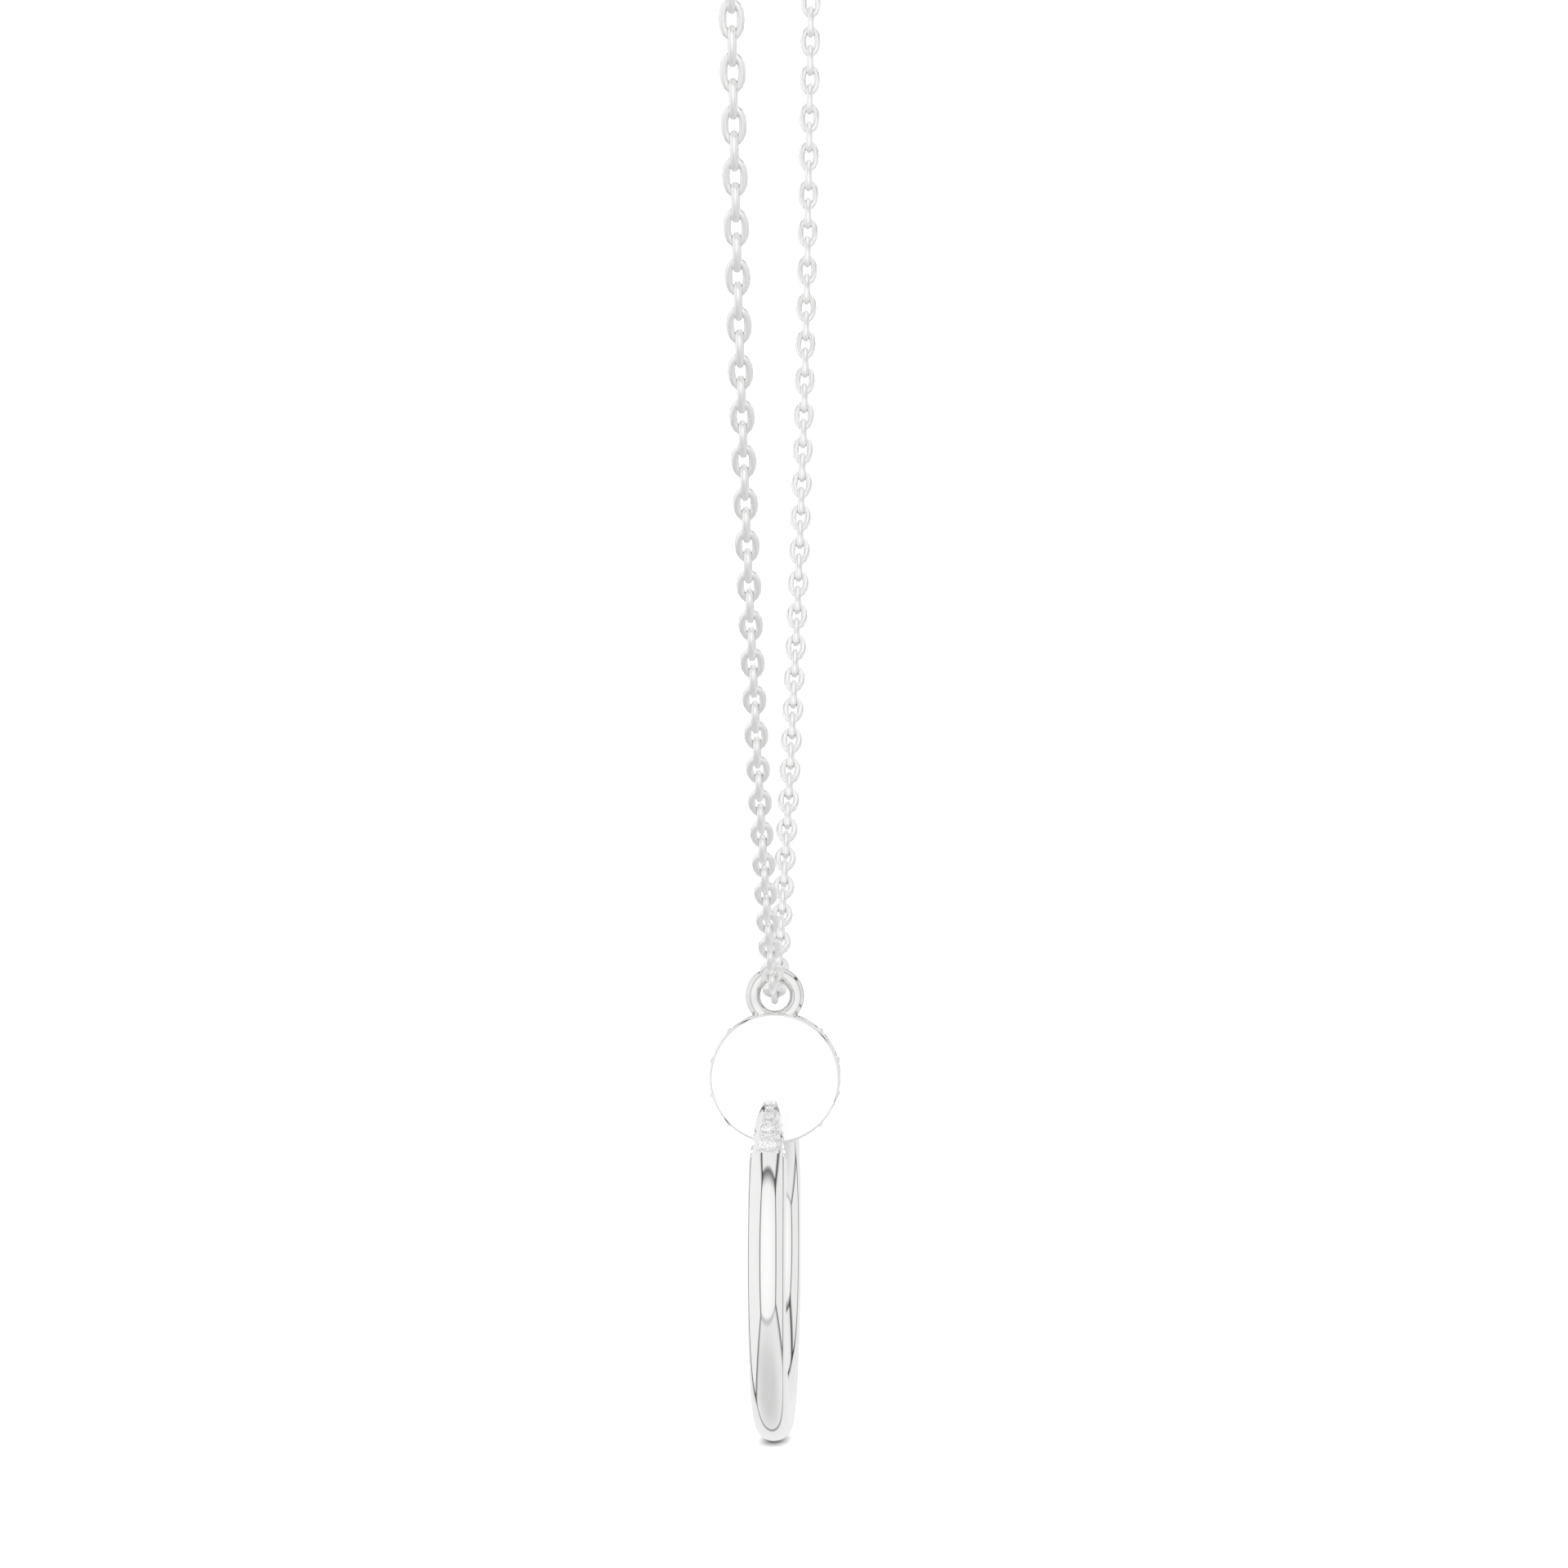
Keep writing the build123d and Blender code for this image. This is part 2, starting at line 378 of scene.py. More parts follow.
def hand_over(piece, body, slot, material, *replaced):
    """Give a finished piece its material and body, and hide the nodes it stands for. The slot is
    not used.
    """
    piece.data.materials.clear()
    piece.data.materials.append(material)
    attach(piece, body)
    if replaced:
        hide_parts(*replaced)
    return piece


# Materials

def add_node(tree, kind, label, **values):
    """A shader node with properties and input values by name."""
    node = tree.nodes.new(kind)
    node.label = label
    for key, value in values.items():
        setattr(node, key, value)
    return node


def polishing_marks():
    """Group for hand-polished metal: soft tone, rough patches, hairlines and a fine skin."""
    tree = bpy.data.node_groups.new("polishing_marks", "ShaderNodeTree")
    face = tree.interface
    for name, default in (("Patch Size", 0.8), ("Hairline Size", 0.12), ("Hairlines", 0.5)):
        socket = face.new_socket(name, in_out="INPUT", socket_type="NodeSocketFloat")
        socket.default_value = default
    for name in ("Smooth Roughness", "Marked Roughness"):
        face.new_socket(name, in_out="INPUT", socket_type="NodeSocketFloat")
    for name in ("Bright", "Dull"):
        face.new_socket(name, in_out="INPUT", socket_type="NodeSocketColor")
    face.new_socket("Color", in_out="OUTPUT", socket_type="NodeSocketColor")
    face.new_socket("Roughness", in_out="OUTPUT", socket_type="NodeSocketFloat")
    face.new_socket("Skin", in_out="OUTPUT", socket_type="NodeSocketFloat")

    link = tree.links.new
    given = add_node(tree, "NodeGroupInput", "given")
    result = add_node(tree, "NodeGroupOutput", "result")
    place = add_node(tree, "ShaderNodeTexCoord", "place")
    in_mm = add_node(tree, "ShaderNodeVectorMath", "in millimetres", operation="SCALE")
    in_mm.inputs["Scale"].default_value = 1 / MM
    link(place.outputs["Object"], in_mm.inputs[0])

    patches = add_node(tree, "ShaderNodeTexNoise", "patches of polish")
    patches.inputs["Detail"].default_value = 3.0
    link(in_mm.outputs[0], patches.inputs["Vector"])
    link(given.outputs["Patch Size"], patches.inputs["Scale"])

    stretched = add_node(tree, "ShaderNodeMapping", "drawn out")
    stretched.inputs["Scale"].default_value = (1.0, 9.0, 1.4)
    stretched.inputs["Rotation"].default_value = (0.3, 0.5, 0.2)
    link(in_mm.outputs[0], stretched.inputs["Vector"])
    hairs = add_node(tree, "ShaderNodeTexNoise", "hairlines")
    hairs.inputs["Detail"].default_value = 4.0
    link(stretched.outputs["Vector"], hairs.inputs["Vector"])
    link(given.outputs["Hairline Size"], hairs.inputs["Scale"])
    thin = add_node(tree, "ShaderNodeMapRange", "only the finest", interpolation_type="SMOOTHSTEP")
    thin.inputs["From Min"].default_value = 0.56
    thin.inputs["From Max"].default_value = 0.72
    link(hairs.outputs["Fac"], thin.inputs["Value"])
    strength = add_node(tree, "ShaderNodeMath", "how marked", operation="MULTIPLY")
    link(thin.outputs["Result"], strength.inputs[0])
    link(given.outputs["Hairlines"], strength.inputs[1])

    both = add_node(tree, "ShaderNodeMath", "patches and hairs", operation="ADD", use_clamp=True)
    soft = add_node(tree, "ShaderNodeMapRange", "soft patches")
    soft.inputs["From Min"].default_value = 0.35
    soft.inputs["From Max"].default_value = 0.75
    soft.inputs["To Max"].default_value = 0.5
    link(patches.outputs["Fac"], soft.inputs["Value"])
    link(soft.outputs["Result"], both.inputs[0])
    link(strength.outputs["Value"], both.inputs[1])

    rough = add_node(tree, "ShaderNodeMapRange", "roughness")
    link(both.outputs["Value"], rough.inputs["Value"])
    link(given.outputs["Smooth Roughness"], rough.inputs["To Min"])
    link(given.outputs["Marked Roughness"], rough.inputs["To Max"])
    link(rough.outputs["Result"], result.inputs["Roughness"])

    tone = add_node(tree, "ShaderNodeMix", "tone", data_type="RGBA")
    link(both.outputs["Value"], tone.inputs["Factor"])
    link(given.outputs["Bright"], tone.inputs["A"])
    link(given.outputs["Dull"], tone.inputs["B"])
    link(tone.outputs["Result"], result.inputs["Color"])
    link(strength.outputs["Value"], result.inputs["Skin"])
    return tree


def white_metal(name, marks, smooth, marked, bright, dull, skin_depth, metallic=1.0, **sizes):
    """Polished white metal with its own marks."""
    material = bpy.data.materials.new(name)
    material.use_nodes = True
    tree = material.node_tree
    surface = tree.nodes["Principled BSDF"]
    surface.inputs["Metallic"].default_value = metallic
    worn = add_node(tree, "ShaderNodeGroup", "polishing marks", node_tree=marks)
    worn.inputs["Smooth Roughness"].default_value = smooth
    worn.inputs["Marked Roughness"].default_value = marked
    worn.inputs["Bright"].default_value = bright
    worn.inputs["Dull"].default_value = dull
    for key, value in sizes.items():
        worn.inputs[key.replace("_", " ").title()].default_value = value
    skin = add_node(tree, "ShaderNodeBump", "skin")
    skin.inputs["Strength"].default_value = 0.25
    skin.inputs["Distance"].default_value = skin_depth
    tree.links.new(worn.outputs["Skin"], skin.inputs["Height"])
    tree.links.new(skin.outputs["Normal"], surface.inputs["Normal"])
    tree.links.new(worn.outputs["Color"], surface.inputs["Base Color"])
    tree.links.new(worn.outputs["Roughness"], surface.inputs["Roughness"])
    return material


def colourless_stone():
    """Clear, hard and bright: a cut stone with a faint cloud in it."""
    material = bpy.data.materials.new("white_stone")
    material.use_nodes = True
    tree = material.node_tree
    surface = tree.nodes["Principled BSDF"]
    surface.inputs["Transmission Weight"].default_value = 0.75
    surface.inputs["IOR"].default_value = 2.15
    surface.inputs["Roughness"].default_value = 0.0
    place = add_node(tree, "ShaderNodeTexCoord", "place")
    cloud = add_node(tree, "ShaderNodeTexNoise", "cloud")
    cloud.inputs["Scale"].default_value = 2.5 / MM
    tint = add_node(tree, "ShaderNodeMix", "tint", data_type="RGBA")
    tint.inputs["A"].default_value = (0.97, 0.98, 1.0, 1.0)
    tint.inputs["B"].default_value = (1.0, 1.0, 1.0, 1.0)
    tree.links.new(place.outputs["Object"], cloud.inputs["Vector"])
    tree.links.new(cloud.outputs["Fac"], tint.inputs["Factor"])
    tree.links.new(tint.outputs["Result"], surface.inputs["Base Color"])
    return material


# Nail

def half_width(share):
    """Half width of the point at a share of its length from the end."""
    end, middle, root = point_end_half_width, point_middle_half_width, point_root_half_width
    bulge = 4 * (middle - (end + root) / 2)
    return end + (root - end) * share + bulge * share * (1 - share)


def taper_angle(share):
    """Slope of a face of the point from the wire's direction."""
    rise = half_width(share + slope_step) - half_width(share - slope_step)
    return math.atan2(rise, 2 * slope_step * point_length)


def along_wire(angle):
    """Frame on the wire's centre line: X along the wire, Y to the side, Z outwards."""
    return charm_frame @ Matrix.Rotation(angle, 4, "Y") @ Matrix.Translation((0, 0, loop_radius))


def across_point(share, roll):
    """Frame on the wire's centre line in the point, rolled from the outer side."""
    return along_wire(point_end_angle + share * point_arc) @ Matrix.Rotation(-roll, 4, "X")


def panel_frame(share, roll):
    """Frame on the floor of a sunk panel of the point: Z out of the metal."""
    lift = Matrix.Translation((0, 0, half_width(share)))
    tilt = Matrix.Rotation(-taper_angle(share), 4, "Y")
    sink = Matrix.Translation((0, 0, -panel_depth))
    return across_point(share, roll) @ lift @ tilt @ sink


def rim_frame(turn, radius):
    """Frame on the head's rim at a turn from its top: Z out of the metal."""
    centre = Matrix.Translation((-head_thickness / 2, 0, loop_radius))
    return head_frame @ centre @ Matrix.Rotation(-turn, 4, "X") @ Matrix.Translation((0, 0, radius))


def bent_wire():
    """Round wire spun round the ring's centre, its end filed to four sides."""
    clear_selection()
    first = along_wire(point_end_angle)
    turn = (first @ Matrix.Rotation(math.radians(90), 4, "Y")).to_euler()
    bpy.ops.mesh.primitive_circle_add(
        vertices=wire_sides, radius=wire_radius, fill_type="NGON",
        location=first.translation, rotation=turn,
    )
    wire = settle(named("bent_nail"))
    inside_head = head_thickness / 2 / loop_radius
    root = point_arc * point_root_step
    stretches = (
        (point_arc - root, point_steps),
        (root, 1),
        (2 * math.pi + head_angle - inside_head - point_end_angle - point_arc, shank_steps),
    )
    bpy.ops.object.mode_set(mode="EDIT")
    bpy.ops.mesh.select_all(action="SELECT")
    for angle, steps in stretches:
        bpy.ops.mesh.spin(steps=steps, angle=angle, center=loop_centre, axis=(0, -1, 0))
    bpy.ops.object.mode_set(mode="OBJECT")
    file_four_sides(wire)

    bpy.ops.object.mode_set(mode="EDIT")
    bpy.ops.mesh.select_all(action="SELECT")
    bpy.ops.mesh.normals_make_consistent(inside=False)
    short_of_root = 1 - point_root_step * 2
    soften_edges(
        wire, point_edge_angle, point_edge_round, point_edge_steps,
        lambda co: point_share(co)[0] < short_of_root,
    )
    return wire


def point_share(co):
    """Share of the point's length at a place, and that place in the charm's frame."""
    local = charm_frame.inverted() @ co
    angle = math.atan2(local.x, local.z) % (2 * math.pi)
    return (angle - point_end_angle) / point_arc, angle, local


def file_four_sides(wire):
    """Bring the wire's end down to a tapering square, its corners left round at the root."""
    for vert in wire.data.vertices:
        share, angle, local = point_share(vert.co)
        if share > 1 - point_root_step / 2:
            continue
        out = math.hypot(local.x, local.z) - loop_radius
        kept = min(1.0, half_width(share) / max(abs(out), abs(local.y)))
        reach = loop_radius + out * kept
        local = Vector((reach * math.sin(angle), local.y * kept, reach * math.cos(angle)))
        vert.co = charm_frame @ local


def panel_room(roll):
    """Room for the sunk panel on one face of the point, with round corners on the outer one."""
    clear_selection()
    bpy.ops.mesh.primitive_grid_add(x_subdivisions=panel_steps, y_subdivisions=1, size=2)
    room = named("panel_room")
    bpy.ops.object.mode_set(mode="EDIT")
    bpy.ops.mesh.select_all(action="SELECT")
    bpy.ops.mesh.extrude_region_move(TRANSFORM_OT_translate={"value": (0, 0, 1)})
    bpy.ops.object.mode_set(mode="OBJECT")
    corner = panel_corner_share * (half_width(panel_end) - panel_border)
    for vert in room.data.vertices:
        to_end = ((1 - vert.co.x) / 2) ** panel_step_crowding
        share = panel_end - (panel_end - panel_start) * to_end
        short = max(0, corner - (panel_end - share) * point_length) if roll == 0 else 0
        rounded = corner - math.sqrt(corner ** 2 - short ** 2)
        aside = vert.co.y * (half_width(share) - panel_border - rounded)
        height = half_width(share) - panel_depth if vert.co.z < 0.5 else 2 * wire_radius
        vert.co = across_point(share, roll) @ Vector((0, aside, height))
    bpy.ops.object.mode_set(mode="EDIT")
    bpy.ops.mesh.select_all(action="SELECT")
    bpy.ops.mesh.normals_make_consistent(inside=False)
    bpy.ops.object.mode_set(mode="OBJECT")
    return room


def nail_head():
    """Flat disc with softened rims, its front face on the wire's circle."""
    clear_selection()
    bpy.ops.mesh.primitive_cylinder_add(
        vertices=head_sides, radius=head_radius, depth=head_thickness,
        end_fill_type="NGON", location=head_centre, rotation=head_turn,
    )
    disc = settle(named("nail_head"))
    soften_edges(disc, head_edge_angle, head_edge_round, head_edge_steps)
    return disc


def soldered_ring():
    """Ring round the place where the charm hangs, its foot sunk in the head's rim."""
    clear_selection()
    bpy.ops.mesh.primitive_torus_add(
        major_segments=ring_sides, minor_segments=ring_wire_sides,
        major_radius=ring_radius, minor_radius=ring_wire_radius,
        location=hang_point, rotation=head_turn,
    )
    return settle(named("soldered_ring"))


def bead(name, radius, height):
    """Round-topped grain standing on z = 0 and rooted below it."""
    clear_selection()
    bpy.ops.mesh.primitive_uv_sphere_add(
        segments=bead_sides, ring_count=bead_rings, radius=radius,
        location=(0, 0, height - radius),
    )
    grain = settle(named(name))
    choose_verts(grain, lambda co: co.z < height - radius * just_past)
    bpy.ops.transform.translate(value=(0, 0, -bead_root - height + 2 * radius))
    bpy.ops.object.mode_set(mode="OBJECT")
    return grain


def all_beads():
    """A pair of beads in each gap between stones, and one before each row on the point."""
    rim_bead = bead("rim_bead", rim_bead_radius, rim_bead_height)
    grains = []
    offset = head_thickness * rim_bead_spread / 2 - rim_bead_radius
    for place in range(1, rim_places - 1):
        turn = 2 * math.pi / rim_places * (place + 0.5)
        for aside in (-offset, offset):
            spot = rim_frame(turn, head_radius) @ Matrix.Translation((aside, 0, 0))
            grains.append(another(rim_bead, "bead", spot))
    discard(rim_bead)

    for number, (share, diameter) in enumerate(point_stones):
        radius = point_bead_share * diameter / 2
        grain = bead("point_bead", radius, point_bead_height)
        reach = diameter / 2 / point_length
        middle = share + reach * last_bead_along
        spread = last_bead_spread * diameter / 2
        if number + 1 < len(point_stones):
            next_share, next_diameter = point_stones[number + 1]
            middle = (share + reach + next_share - next_diameter / 2 / point_length) / 2
            spread = point_bead_spread * diameter / 2
        before = share - diameter * first_bead_before / point_length
        for roll in point_rolls.values():
            for aside in (-spread, spread):
                spot = panel_frame(middle, roll) @ Matrix.Translation((0, aside, 0))
                grains.append(another(grain, "bead", spot))
            if number == 0:
                grains.append(another(grain, "bead", panel_frame(before, roll)))
        discard(grain)
    for grain in grains:
        settle(grain)
    return weld(grains)


def seat(diameter):
    """Room for a stone with a small clearance, its girdle on z = 0 and open above it."""
    clear_selection()
    half_girdle = girdle_share * diameter / 2
    opening = diameter / 2 + stone_clearance
    depth = pavilion_share * diameter * opening / (diameter / 2)
    bpy.ops.mesh.primitive_cone_add(
        vertices=stone_sides, radius1=culet_share * diameter / 2, radius2=opening, depth=depth,
        end_fill_type="NGON", location=(0, 0, -half_girdle - depth / 2),
    )
    room = settle(named("seat"))
    choose_verts(room, lambda co: co.z > -half_girdle * just_past)
    rise = 2 * half_girdle + crown_share * diameter + stone_clearance
    bpy.ops.mesh.extrude_region_move(TRANSFORM_OT_translate={"value": (0, 0, rise)})
    bpy.ops.object.mode_set(mode="OBJECT")
    return room


def stone_places():
    """Every stone as its name, its frame and its diameter."""
    places = []
    girdle = head_radius + rim_table_lift - (crown_share + girdle_share / 2) * rim_stone_diameter
    for place in range(1, rim_places):
        spot = rim_frame(2 * math.pi / rim_places * place, girdle)
        places.append((f"rim_stone_{place:02d}", spot, rim_stone_diameter))
    for toward, roll in point_rolls.items():
        for number, (share, diameter) in enumerate(point_stones, start=1):
            places.append((f"point_stone_{toward}_{number}", panel_frame(share, roll), diameter))
    return places


def all_seats():
    """Room for every stone, as one tool."""
    rooms = []
    for _, spot, diameter in stone_places():
        rooms.append(settle(seat(diameter), spot))
    return weld(rooms)


def facet(tilt, turn, through):
    """Grind one flat on the stone in hand: its tilt from the stone's axis and its turn."""
    aside = math.sin(tilt)
    normal = Vector((aside * math.cos(turn), aside * math.sin(turn), math.cos(tilt)))
    radius, height = through
    point = Vector((radius * math.cos(turn), radius * math.sin(turn), height))
    bpy.ops.mesh.select_all(action="SELECT")
    bpy.ops.mesh.bisect(
        plane_co=point, plane_no=normal, use_fill=True, clear_outer=True, threshold=cut_threshold,
    )


def brilliant():
    """Round stone one millimetre across with 57 facets, its girdle on z = 0."""
    clear_selection()
    radius = 0.5 * MM
    half_girdle = girdle_share * radius
    table = table_share * radius
    top = half_girdle + crown_share * 2 * radius
    bottom = -half_girdle - pavilion_share * 2 * radius
    bpy.ops.mesh.primitive_cylinder_add(
        vertices=stone_sides, radius=radius, depth=top - bottom,
        end_fill_type="NGON", location=(0, 0, (top + bottom) / 2),
    )
    stone = settle(named("brilliant"))
    bpy.ops.object.mode_set(mode="EDIT")
    crown_slope = math.atan2(top - half_girdle, radius - table)
    table_edge = table * math.cos(math.pi / 8)
    pavilion_slope = math.atan2(-half_girdle - bottom, radius)
    for eighth in range(8):
        turn = eighth * math.pi / 4
        between = turn + math.pi / 8
        facet(crown_slope, turn, (table, top))
        facet(math.pi - pavilion_slope, turn, (radius, -half_girdle))
        facet(crown_slope * star_share, between, (table_edge, top))
        for side in (-1, 1):
            half = turn + side * math.pi / 16
            height = half_girdle * half_facet_height
            facet(crown_slope * upper_half_share, half, (radius, height))
            facet(math.pi - pavilion_slope * lower_half_share, half, (radius, -height))
    bpy.ops.object.mode_set(mode="OBJECT")
    return stone


def oval_link():
    """One link in the XZ plane of its own frame, long along X: a ring drawn out to an oval."""
    clear_selection()
    end_radius = link_width / 2 - link_wire_radius
    bpy.ops.mesh.primitive_torus_add(
        major_segments=link_sides, minor_segments=link_wire_sides, major_radius=end_radius,
        minor_radius=link_wire_radius, rotation=(math.radians(90), 0, 0),
    )
    link = settle(named("oval_link"))
    drawn = link_length / 2 - link_width / 2
    for vert in link.data.vertices:
        lean = vert.co.x / math.hypot(vert.co.x, vert.co.z)
        vert.co.x += drawn * math.copysign(abs(lean) ** link_roundness, lean)
    return polish(link, 180)


def chain_line():
    """Points along the chain's smooth line, from one side of the clasp to the other."""
    corner_z = clasp_level - chain_route[-1][1] * MM
    eye_outer = clasp_length / 2 - 2 * clasp_eye_wire_radius
    hooked = eye_outer + link_length / 2 - 2 * link_wire_radius
    strand = [Vector((x * MM, 0, corner_z + z * MM)) for x, z in chain_route]
    strand.append(Vector((hooked, 0, clasp_level)))
    other = [Vector((-p.x, 0, p.z)) for p in reversed(strand)]
    lowest = Vector((0, 0, corner_z + lowest_link_lift))
    points = other + [lowest] + strand

    curve = bpy.data.curves.new("chain_line", "CURVE")
    curve.dimensions = "3D"
    curve.resolution_u = 64
    spline = curve.splines.new("NURBS")
    spline.points.add(len(points) - 1)
    for control, point in zip(spline.points, points):
        control.co = (*point, 1.0)
    spline.order_u = 3
    spline.use_endpoint_u = True
    line = bpy.data.objects.new("chain_line", curve)
    bpy.context.scene.collection.objects.link(line)
    mesh = bpy.data.meshes.new_from_object(line)
    walked = [v.co.copy() for v in mesh.vertices]
    bpy.data.objects.remove(line)
    bpy.data.curves.remove(curve)
    bpy.data.meshes.remove(mesh)
    return walked


def oval_chain():
    """The whole loop of links, each turned a quarter against its neighbours."""
    walked = chain_line()
    lengths = [0.0]
    for before, after in zip(walked, walked[1:]):
        lengths.append(lengths[-1] + (after - before).length)
    count = 2 * links_each_side + 1
    pitch = lengths[-1] / (count - 1)
    link = oval_link()
    links = []
    at = 0
    for number in range(count):
        reach = min(number * pitch, lengths[-1])
        while at < len(lengths) - 2 and lengths[at + 1] < reach:
            at += 1
        part = (reach - lengths[at]) / (lengths[at + 1] - lengths[at])
        spot = walked[at].lerp(walked[at + 1], part)
        before = walked[max(at - heading_reach, 0)]
        after = walked[min(at + 1 + heading_reach, len(walked) - 1)]
        heading = (after - before).to_track_quat("X", "Z").to_matrix().to_4x4()
        quarter = math.radians(90) * ((number + links_each_side) % 2)
        roll = Matrix.Rotation(quarter, 4, "X")
        links.append(another(link, "link", Matrix.Translation(spot) @ heading @ roll))
    discard(link)
    chain = weld(links)
    chain.name = chain.data.name = "oval_chain"
    return settle(chain)


def barrel_clasp():
    """Plain barrel with a fine seam round its middle and an eye at each end."""
    clear_selection()
    eye_radius = clasp_eye_hole_radius + clasp_eye_wire_radius
    barrel_length = clasp_length - 4 * eye_radius
    bpy.ops.mesh.primitive_cylinder_add(
        vertices=clasp_sides, radius=clasp_radius, depth=barrel_length,
        end_fill_type="NGON", location=(0, 0, clasp_level), rotation=(0, math.radians(90), 0),
    )
    barrel = settle(named("barrel_clasp"))
    soften_edges(barrel, 60, clasp_end_round, clasp_end_steps)
    bpy.ops.object.mode_set(mode="EDIT")
    for side in (-0.5, 0.5):
        for depth in (-1, 1):
            bpy.ops.mesh.select_all(action="SELECT")
            x = seam_width * (side + depth * 0.25)
            bpy.ops.mesh.bisect(plane_co=(x, 0, 0), plane_no=(1, 0, 0), threshold=cut_threshold)
    bpy.ops.object.mode_set(mode="OBJECT")
    choose_verts(barrel, lambda co: abs(co.x) < seam_width * 0.5)
    sunk = 1 - seam_depth / clasp_radius
    bpy.ops.transform.resize(value=(1, sunk, sunk), center_override=(0, 0, clasp_level))
    bpy.ops.object.mode_set(mode="OBJECT")

    eye_x = clasp_length / 2 - eye_radius - clasp_eye_wire_radius
    eyes = []
    for x in (-eye_x, eye_x):
        clear_selection()
        bpy.ops.mesh.primitive_torus_add(
            major_segments=40, minor_segments=16, major_radius=eye_radius,
            minor_radius=clasp_eye_wire_radius, location=(x, 0, clasp_level),
            rotation=(math.radians(90), 0, 0),
        )
        eyes.append(settle(named("clasp_eye")))
    return polish(cut_or_join(barrel, weld(eyes), "UNION"), clasp_smooth_angle)


# Studio

def studio_room():
    """Plain white all round, and for reflections a soft white room with dark corners."""
    world = bpy.data.worlds.new("studio")
    bpy.context.scene.world = world
    world.use_nodes = True
    tree = world.node_tree
    tree.nodes.clear()
    link = tree.links.new

    def sums(operation, first, second, clamp=False):
        """One sum of two numbers or outputs."""
        label = operation.lower()
        node = add_node(tree, "ShaderNodeMath", label, operation=operation, use_clamp=clamp)
        for socket, value in zip(node.inputs, (first, second)):
            if isinstance(value, (int, float)):
                socket.default_value = value
            else:
                link(value, socket)
        return node.outputs["Value"]

    def ramp(value, from_low, from_high, to_low, to_high):
        """Soft step from one pair of limits to another."""
        node = add_node(tree, "ShaderNodeMapRange", "ramp", interpolation_type="SMOOTHSTEP")
        link(value, node.inputs["Value"])
        limits = (from_low, from_high, to_low, to_high)
        for name, limit in zip(("From Min", "From Max", "To Min", "To Max"), limits):
            node.inputs[name].default_value = limit
        return node.outputs["Result"]

    direction = add_node(tree, "ShaderNodeTexCoord", "direction").outputs["Generated"]
    leans = []
    shares = []
    for label, axis, distance, *_ in room_walls:
        lean = add_node(tree, "ShaderNodeVectorMath", label, operation="DOT_PRODUCT")
        link(direction, lean.inputs[0])
        lean.inputs[1].default_value = axis
        leans.append(lean.outputs["Value"])
        shares.append(sums("DIVIDE", leans[-1], distance))
    nearest = shares[0]
    for share in shares[1:]:
        nearest = sums("MAXIMUM", nearest, share)
    seen = 0.0
    light = 0.0
    dark = 0.0
    for share, lean, (*_, middle, edge, width, depth) in zip(shares, leans, room_walls):
        here = ramp(sums("DIVIDE", share, nearest), 1 - width, 1, 0, 1)
        bright = ramp(lean, wall_tone_from, 1.0, edge, middle)
        seen = sums("ADD", seen, here)
        light = sums("ADD", light, sums("MULTIPLY", here, bright))
        dark = sums("ADD", dark, sums("MULTIPLY", here, depth))
    corner = sums("SUBTRACT", seen, 1.0, clamp=True)
    depth_here = sums("MINIMUM", sums("DIVIDE", dark, seen), darkest_corner)
    shade = sums("SUBTRACT", 1.0, sums("MULTIPLY", corner, depth_here))
    reflected = sums("MULTIPLY", sums("DIVIDE", light, seen), shade)

    path = add_node(tree, "ShaderNodeLightPath", "path")
    bounced = path.outputs["Is Glossy Ray"]
    from_floor = sums("MINIMUM", path.outputs["Diffuse Depth"], 1.0)
    kept = sums("SUBTRACT", 1.0, sums("MULTIPLY", from_floor, 1 - floor_bounce))
    reflected = sums("MULTIPLY", reflected, kept)
    plain = add_node(tree, "ShaderNodeBackground", "plain white")
    plain.inputs["Strength"].default_value = plain_light
    room = add_node(tree, "ShaderNodeBackground", "room")
    link(reflected, room.inputs["Strength"])
    for lamp in (plain, room):
        lamp.inputs["Color"].default_value = (1, 1, 1, 1)
    chosen = add_node(tree, "ShaderNodeMixShader", "plain or room")
    link(bounced, chosen.inputs["Fac"])
    link(plain.outputs["Background"], chosen.inputs[1])
    link(room.outputs["Background"], chosen.inputs[2])
    output = add_node(tree, "ShaderNodeOutputWorld", "output")
    link(chosen.outputs["Shader"], output.inputs["Surface"])


def pale_floor():
    """White floor just under the charm, seen by the eye and kept out of reflections."""
    clear_selection()
    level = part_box("nail")[0].z - floor_gap
    bpy.ops.mesh.primitive_plane_add(size=floor_size, location=(0, 0, level))
    floor = named("floor")
    material = bpy.data.materials.new("pale_floor")
    material.use_nodes = True
    surface = material.node_tree.nodes["Principled BSDF"]
    surface.inputs["Roughness"].default_value = 0.9
    surface.inputs["Specular IOR Level"].default_value = 0.0
    grain = add_node(material.node_tree, "ShaderNodeTexNoise", "grain")
    grain.inputs["Scale"].default_value = 400.0
    tone = add_node(material.node_tree, "ShaderNodeMix", "tone", data_type="RGBA")
    tone.inputs["A"].default_value = (0.97, 0.97, 0.97, 1.0)
    tone.inputs["B"].default_value = (0.99, 0.99, 0.99, 1.0)
    material.node_tree.links.new(grain.outputs["Fac"], tone.inputs["Factor"])
    material.node_tree.links.new(tone.outputs["Result"], surface.inputs["Base Color"])
    floor.data.materials.append(material)
    floor.visible_glossy = False
    return floor


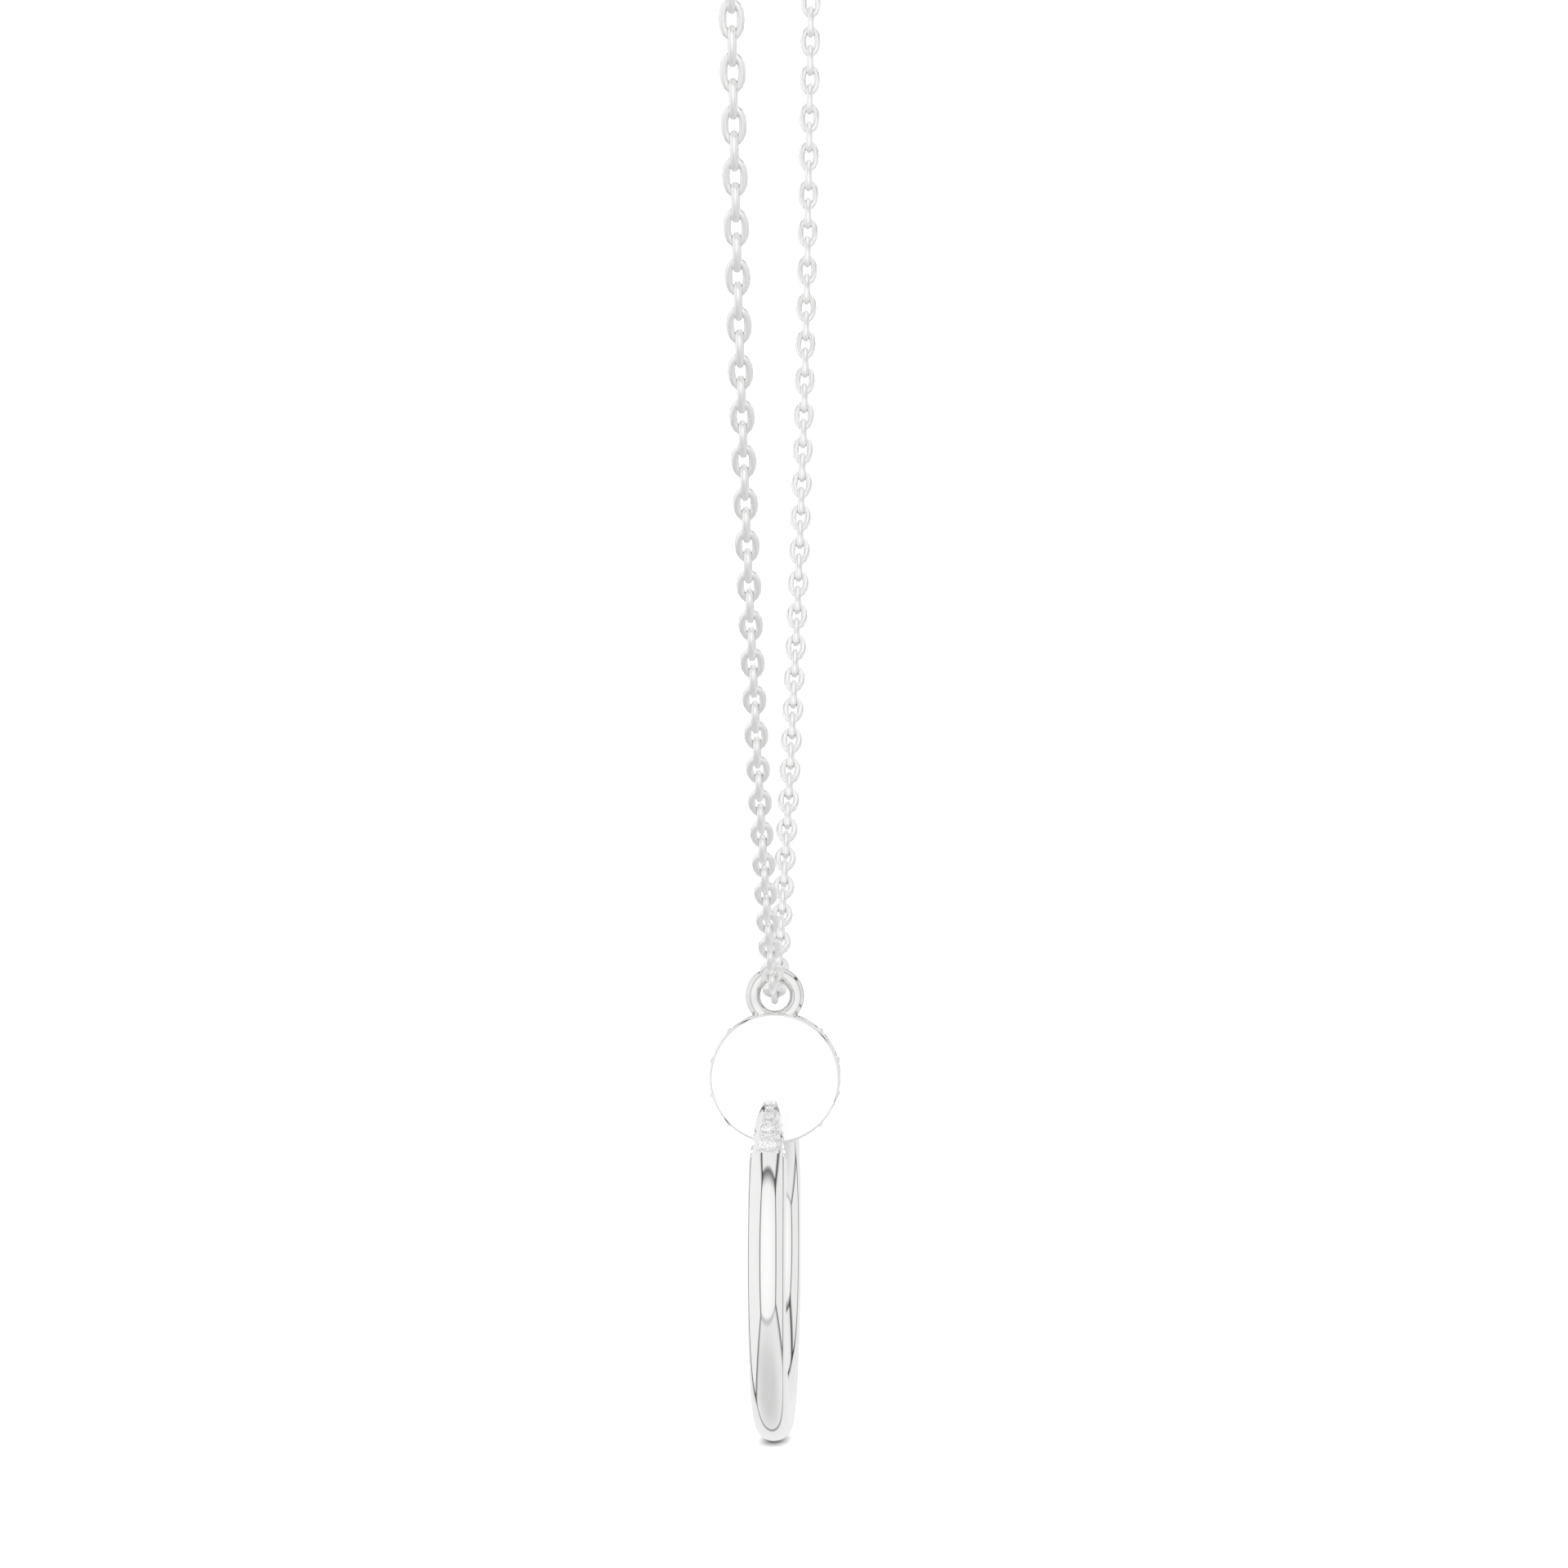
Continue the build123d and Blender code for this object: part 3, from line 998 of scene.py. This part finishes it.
def photo_camera():
    """Camera at the photo's place, level, with the photo's perspective."""
    bpy.ops.object.camera_add()
    camera = bpy.context.object
    camera.location = Vector((0, 0, camera_height)) + right * camera_aside + back * camera_distance
    camera.rotation_euler = (-back).to_track_quat("-Z", "Y").to_euler()
    camera.data.lens = camera_lens
    camera.data.clip_start = 10 * MM
    camera.data.clip_end = 10.0
    bpy.context.scene.camera = camera


# Making

marks = polishing_marks()
charm_metal = white_metal(
    "charm_metal", marks, smooth=0.02, marked=0.07,
    bright=(0.96, 0.96, 0.955, 1.0), dull=(0.925, 0.925, 0.92, 1.0), skin_depth=0.002 * MM,
)
satin_metal = white_metal(
    "satin_metal", marks, smooth=0.34, marked=0.38, metallic=0.85, hairlines=0.2,
    bright=(0.99, 0.99, 0.985, 1.0), dull=(0.97, 0.97, 0.965, 1.0), skin_depth=0.001 * MM,
)
# Darker copy of the charm's metal for the soldered ring: painted shade standing in for its darker
# reflections
ring_metal_with_painted_shade = white_metal(
    "ring_metal_with_painted_shade", marks, smooth=0.03, marked=0.08, patch_size=1.2, hairlines=0.6,
    bright=(0.88, 0.88, 0.875, 1.0), dull=(0.72, 0.72, 0.715, 1.0), skin_depth=0.003 * MM,
)
chain_metal = white_metal(
    "chain_metal", marks, smooth=0.3, marked=0.38, patch_size=1.6, hairlines=0.3,
    bright=(0.98, 0.98, 0.975, 1.0), dull=(0.95, 0.95, 0.945, 1.0), skin_depth=0.002 * MM,
)
white_stone = colourless_stone()

nail = bent_wire()
cut_or_join(nail, nail_head(), "UNION")
cut_or_join(nail, soldered_ring(), "UNION")
for roll in point_rolls.values():
    cut_or_join(nail, panel_room(roll), "DIFFERENCE")
cut_or_join(nail, all_seats(), "DIFFERENCE")
cut_or_join(nail, all_beads(), "UNION")
polish(nail, nail_smooth_angle)
hand_over(nail, "charm", "charm_metal", charm_metal, "nail")
finish_faces(nail, satin_metal, on_head_face)
# The soldered ring's faces take the darker metal, which is painted shade
finish_faces(nail, ring_metal_with_painted_shade, on_ring)

master = brilliant()
for name, spot, diameter in stone_places():
    size = Matrix.Scale(diameter / MM, 4)
    stone = settle(another(master, name + "_cut", spot @ size))
    hand_over(stone, "charm", "white_stone", white_stone, name)
discard(master)

chain = oval_chain()
hand_over(chain, "necklace", "chain_metal", chain_metal, "chain_front", "chain_back")
clasp = barrel_clasp()
hand_over(clasp, "necklace", "chain_metal", chain_metal, "clasp")

studio_room()
pale_floor()
photo_camera()
bpy.context.scene.view_settings.view_transform = "Standard"
